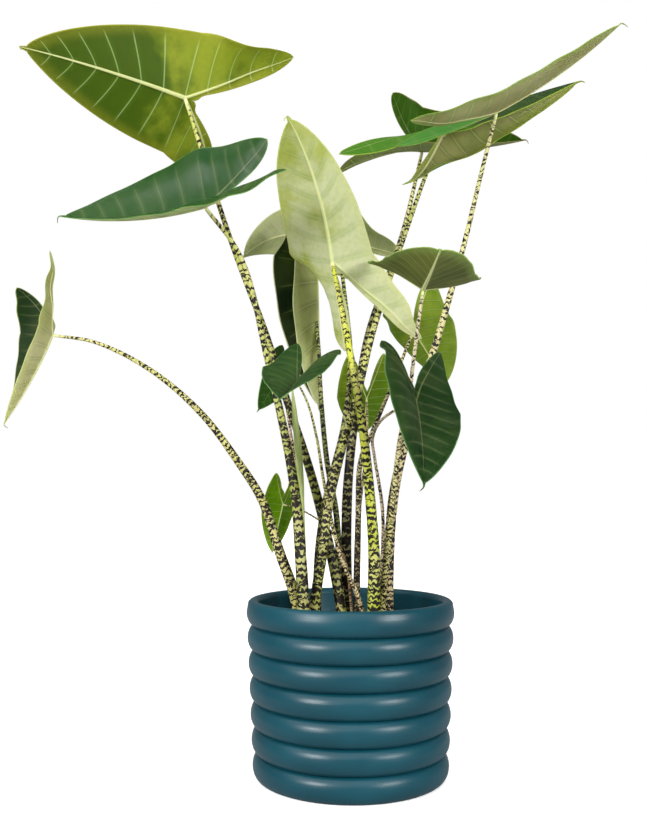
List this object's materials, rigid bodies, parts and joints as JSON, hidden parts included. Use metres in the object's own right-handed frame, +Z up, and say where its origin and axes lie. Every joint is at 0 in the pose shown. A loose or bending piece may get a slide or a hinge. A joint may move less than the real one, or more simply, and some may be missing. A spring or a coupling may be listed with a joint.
{
  "type": "potted zebrina alocasia",
  "caption": "House plant with arrow-shaped leaves on long striped leaf stalks, some drooping and some upright, growing from soil in a round glazed pot with stacked ribs.",
  "frame": {"origin": "centre of the pot's flat base, where it rests", "axes": "+Z up along the pot's axis, -Y towards the front that the picture shows, +X to the right of that view"},
  "size_m": [0.7256, 0.4521, 0.8904],
  "materials": {
    "glaze": "satin dark teal glaze",
    "soil": "rough dark brown potting mix",
    "blade": "dark green above and pale grey-green below, with a fine pale rim",
    "stalk": "yellow-green with dark brown cross marks",
    "spear": "plain pale green"
  },
  "bodies": {
    "root": {"pot": "glaze", "soil": "soil", "leaf_top_left": "blade", "leaf_mid_left": "blade", "leaf_centre_tall": "blade", "leaf_centre_rear": "blade", "leaf_centre_hanging": "blade", "leaf_far_left": "blade", "leaf_top_right": "blade", "leaf_right_second": "blade", "leaf_right_third": "blade", "leaf_right_small": "blade", "leaf_front_right": "blade", "leaf_right_rear": "blade", "leaf_young_centre": "blade", "leaf_young_front": "blade", "leaf_young_low": "blade", "leaf_young_rear": "blade", "leaf_rolled": "spear", "stalk_top_left": "stalk", "stalk_mid_left": "stalk", "stalk_centre_tall": "stalk", "stalk_centre_rear": "stalk", "stalk_centre_hanging": "stalk", "stalk_far_left": "stalk", "stalk_top_right": "stalk", "stalk_right_second": "stalk", "stalk_right_third": "stalk", "stalk_right_small": "stalk", "stalk_front_right": "stalk", "stalk_right_rear": "stalk", "stalk_young_centre": "stalk", "stalk_young_front": "stalk", "stalk_young_low": "stalk", "stalk_young_rear": "stalk"}
  },
  "joints": []
}
